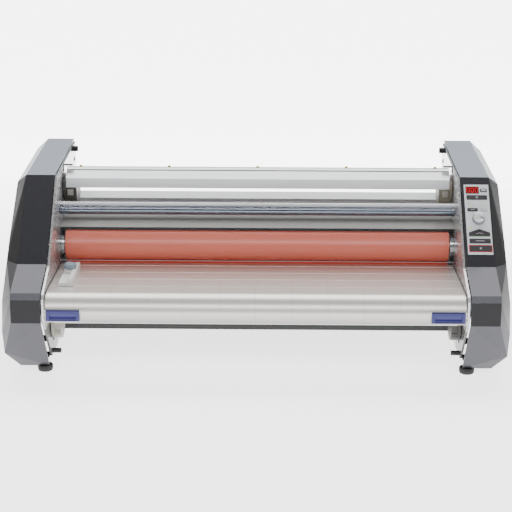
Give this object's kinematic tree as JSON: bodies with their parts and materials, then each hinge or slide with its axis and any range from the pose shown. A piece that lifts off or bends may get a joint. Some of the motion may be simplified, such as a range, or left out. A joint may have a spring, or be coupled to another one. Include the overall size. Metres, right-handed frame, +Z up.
{
  "type": "roll laminator",
  "caption": "Desktop roll laminator: side frames in moulded covers, heated and pull rollers, film supply shafts, hinged clear shield, sliding feed table and control panel.",
  "frame": {"origin": "on the floor under the middle of the machine's box", "axes": "+X along the rollers to the user's right, +Y from the feed side to the exit side, +Z up"},
  "size_m": [0.9, 0.505, 0.353],
  "materials": {
    "frame_steel": "galvanised sheet",
    "charcoal_shell": "fine moulded grain",
    "silver_cap": "silver-blue paint on moulded plastic",
    "black_steel": "powder coat",
    "silver_sheet": "satin paint",
    "deflector_steel": "long brushed grain",
    "plain_steel": "satin",
    "black_rubber": "matt",
    "bearing_steel": "turned",
    "brass": "turned",
    "black_nylon": "moulded",
    "fascia_print": "satin film",
    "display_lens": "clear dark red lens",
    "lamp_lens": "lit lens",
    "circuit_board": "solder mask",
    "motor_paint": "semi-gloss",
    "heater_metal": "plain",
    "roller_steel": "ground",
    "salmon_silicone": "smooth satin silicone",
    "dark_rubber": "ground rubber",
    "gear_plastic": "moulded acetal",
    "gear_steel": "cut",
    "shaft_aluminium": "anodised extrusion",
    "hub_plastic": "moulded",
    "polished_bar": "polished",
    "clear_shield": "clear polycarbonate",
    "table_aluminium": "satin anodised",
    "latch_blue": "moulded",
    "guide_white": "moulded",
    "guide_knob_blue": "moulded",
    "knob_silver": "satin paint",
    "button_grey": "silicone key"
  },
  "bodies": {
    "chassis": {"left_frame_plate": "frame_steel", "right_frame_plate": "frame_steel", "left_cover": "charcoal_shell", "right_cover": "charcoal_shell", "left_cap": "silver_cap", "right_cap": "silver_cap", "base_pan": "black_steel", "rear_cover": "silver_sheet", "heat_deflector": "deflector_steel", "tie_bars": "plain_steel", "frame_screws": "plain_steel", "feet": "black_rubber", "roller_bearings": "bearing_steel", "bearing_washers": "brass", "shaft_saddles": "black_nylon", "rest_pegs": "black_rubber", "panel_fascia": "fascia_print", "display_window": "display_lens", "indicator_lamps": "lamp_lens", "control_board": "circuit_board", "drive_motor": "motor_paint", "heater_rods": "heater_metal", "mains_inlet": "black_nylon"},
    "upper_roller": {"upper_roller_tube": "roller_steel", "upper_roller_sleeve": "salmon_silicone", "upper_roller_gear": "gear_plastic"},
    "lower_roller": {"lower_roller_tube": "roller_steel", "lower_roller_sleeve": "salmon_silicone", "lower_roller_gear": "gear_plastic"},
    "upper_pull_roller": {"upper_pull_core": "roller_steel", "upper_pull_sleeve": "dark_rubber"},
    "lower_pull_roller": {"lower_pull_core": "roller_steel", "lower_pull_sleeve": "dark_rubber"},
    "idler": {"idler_gear": "gear_plastic"},
    "motor_pinion": {"motor_gear": "gear_steel"},
    "upper_supply": {"upper_supply_shaft": "shaft_aluminium", "upper_supply_hubs": "hub_plastic", "upper_core_grips": "brass"},
    "lower_supply": {"lower_supply_shaft": "shaft_aluminium", "lower_supply_hubs": "hub_plastic"},
    "upper_idler": {"upper_idler_bar": "polished_bar"},
    "lower_idler": {"lower_idler_bar": "polished_bar"},
    "shield": {"shield_panel": "clear_shield", "shield_rod": "plain_steel"},
    "feed_table": {"table_plate": "table_aluminium"},
    "left_latch": {"latch_left": "latch_blue"},
    "right_latch": {"latch_right": "latch_blue"},
    "paper_guide": {"side_guide": "guide_white"},
    "guide_lock": {"guide_knob": "guide_knob_blue"},
    "speed_control": {"speed_knob": "knob_silver"},
    "heat_button_key": {"heat_button": "button_grey"},
    "ready_button_key": {"ready_button": "button_grey"},
    "mode_button_key": {"mode_button": "button_grey"},
    "set_button_key": {"set_button": "button_grey"},
    "run_button_key": {"run_button": "button_grey"},
    "reverse_button_key": {"reverse_button": "button_grey"},
    "stop_button_key": {"stop_button": "button_grey"},
    "power_switch": {"power_rocker": "black_nylon"}
  },
  "joints": [
    {"name": "upper_roller_spin", "type": "hinge", "parent": "chassis", "child": "upper_roller", "pos_m": [0, -0.0035, 0.198], "axis": [1, 0, 0], "continuous": true},
    {"name": "lower_roller_spin", "type": "hinge", "parent": "chassis", "child": "lower_roller", "pos_m": [0, -0.0035, 0.138], "axis": [1, 0, 0], "continuous": true},
    {"name": "upper_pull_spin", "type": "hinge", "parent": "chassis", "child": "upper_pull_roller", "pos_m": [0, 0.1595, 0.197], "axis": [1, 0, 0], "continuous": true},
    {"name": "lower_pull_spin", "type": "hinge", "parent": "chassis", "child": "lower_pull_roller", "pos_m": [0, 0.1595, 0.139], "axis": [1, 0, 0], "continuous": true},
    {"name": "idler_gear_spin", "type": "hinge", "parent": "chassis", "child": "idler", "pos_m": [0, 0.07862, 0.12034], "axis": [1, 0, 0], "continuous": true},
    {"name": "motor_spin", "type": "hinge", "parent": "chassis", "child": "motor_pinion", "pos_m": [0, 0.11312, 0.06059], "axis": [1, 0, 0], "continuous": true},
    {"name": "upper_supply_spin", "type": "hinge", "parent": "chassis", "child": "upper_supply", "pos_m": [0, 0.0595, 0.3], "axis": [1, 0, 0], "continuous": true},
    {"name": "lower_supply_spin", "type": "hinge", "parent": "chassis", "child": "lower_supply", "pos_m": [0, -0.1445, 0.096], "axis": [1, 0, 0], "continuous": true},
    {"name": "upper_idler_spin", "type": "hinge", "parent": "chassis", "child": "upper_idler", "pos_m": [0, -0.0165, 0.268], "axis": [1, 0, 0], "continuous": true},
    {"name": "lower_idler_spin", "type": "hinge", "parent": "chassis", "child": "lower_idler", "pos_m": [0, -0.0565, 0.098], "axis": [1, 0, 0], "continuous": true},
    {"name": "shield_hinge", "type": "hinge", "parent": "chassis", "child": "shield", "pos_m": [0, -0.0385, 0.284], "axis": [-1, 0, 0], "range_deg": [0, 100]},
    {"name": "feed_table_slide", "type": "slide", "parent": "chassis", "child": "feed_table", "axis": [0, -1, 0], "range_m": [0, 0.26]},
    {"name": "left_latch_hinge", "type": "hinge", "parent": "feed_table", "child": "left_latch", "pos_m": [-0.3365, -0.24845, 0.141], "axis": [-1, 0, 0], "range_deg": [0, 25], "stiffness_Nm_per_rad": 0.05},
    {"name": "right_latch_hinge", "type": "hinge", "parent": "feed_table", "child": "right_latch", "pos_m": [0.3365, -0.24845, 0.141], "axis": [-1, 0, 0], "range_deg": [0, 25], "stiffness_Nm_per_rad": 0.05},
    {"name": "paper_guide_slide", "type": "slide", "parent": "feed_table", "child": "paper_guide", "axis": [1, 0, 0], "range_m": [0, 0.66]},
    {"name": "guide_knob_turn", "type": "hinge", "parent": "paper_guide", "child": "guide_lock", "pos_m": [-0.3398, -0.1125, 0.18], "axis": [0, 0, 1], "range_deg": [0, 180]},
    {"name": "speed_knob_turn", "type": "hinge", "parent": "chassis", "child": "speed_control", "pos_m": [0.4021, -0.09901, 0.27209], "axis": [0, -0.7203, 0.6936], "range_deg": [-135, 135]},
    {"name": "heat_button_press", "type": "slide", "parent": "chassis", "child": "heat_button_key", "axis": [0, 0.7203, -0.6936], "range_m": [0, 0.0008], "stiffness_N_per_m": 400},
    {"name": "ready_button_press", "type": "slide", "parent": "chassis", "child": "ready_button_key", "axis": [0, 0.7203, -0.6936], "range_m": [0, 0.0008], "stiffness_N_per_m": 400},
    {"name": "mode_button_press", "type": "slide", "parent": "chassis", "child": "mode_button_key", "axis": [0, 0.7203, -0.6936], "range_m": [0, 0.0008], "stiffness_N_per_m": 400},
    {"name": "set_button_press", "type": "slide", "parent": "chassis", "child": "set_button_key", "axis": [0, 0.7203, -0.6936], "range_m": [0, 0.0008], "stiffness_N_per_m": 400},
    {"name": "run_button_press", "type": "slide", "parent": "chassis", "child": "run_button_key", "axis": [0, 0.7203, -0.6936], "range_m": [0, 0.0008], "stiffness_N_per_m": 400},
    {"name": "reverse_button_press", "type": "slide", "parent": "chassis", "child": "reverse_button_key", "axis": [0, 0.7203, -0.6936], "range_m": [0, 0.0008], "stiffness_N_per_m": 400},
    {"name": "stop_button_press", "type": "slide", "parent": "chassis", "child": "stop_button_key", "axis": [0, 0.7203, -0.6936], "range_m": [0, 0.0008], "stiffness_N_per_m": 400},
    {"name": "power_rocker_tilt", "type": "hinge", "parent": "chassis", "child": "power_switch", "pos_m": [0.412, 0.2455, 0.112], "axis": [1, 0, 0], "range_deg": [-8, 8]}
  ],
  "couplings": [
    {"joint": "lower_roller_spin", "follows": "upper_roller_spin", "ratio": -1},
    {"joint": "idler_gear_spin", "follows": "upper_roller_spin", "ratio": 0.55556},
    {"joint": "lower_pull_spin", "follows": "upper_roller_spin", "ratio": -1.0345},
    {"joint": "upper_pull_spin", "follows": "upper_roller_spin", "ratio": 1.0345},
    {"joint": "motor_spin", "follows": "upper_roller_spin", "ratio": -2}
  ]
}
